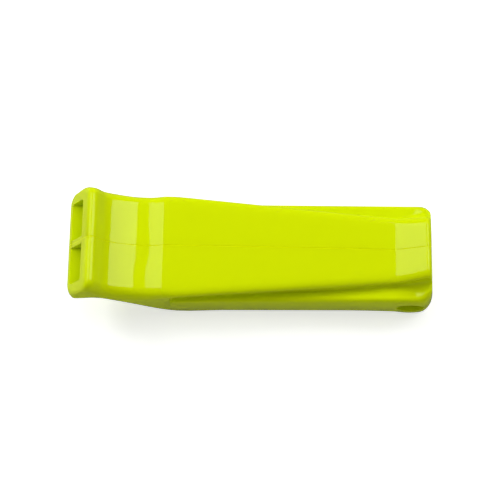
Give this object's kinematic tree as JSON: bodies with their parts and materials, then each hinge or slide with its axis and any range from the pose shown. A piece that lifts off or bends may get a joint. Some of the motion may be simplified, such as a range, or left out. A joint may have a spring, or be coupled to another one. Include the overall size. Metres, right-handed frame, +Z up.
{
  "type": "flat pealess whistle",
  "caption": "Slim plastic whistle without a ball, with two blow slots side by side, a hooked mouthpiece, a tapered top panel over side ledges, and an oval lanyard bore through the tail",
  "frame": {"origin": "on the table, under the middle of the whistle's bounding box, as it lies on its back", "axes": "+X from the mouth to the tail, +Y across the whistle to its left half, +Z up from the table"},
  "size_m": [0.0602, 0.0182, 0.0128],
  "materials": {
    "shell": "polished lime-yellow moulded plastic",
    "divider": "the same plastic, less polished"
  },
  "bodies": {
    "root": {"left_half_shell": "shell", "right_half_shell": "shell", "chamber_divider": "divider"}
  },
  "joints": []
}
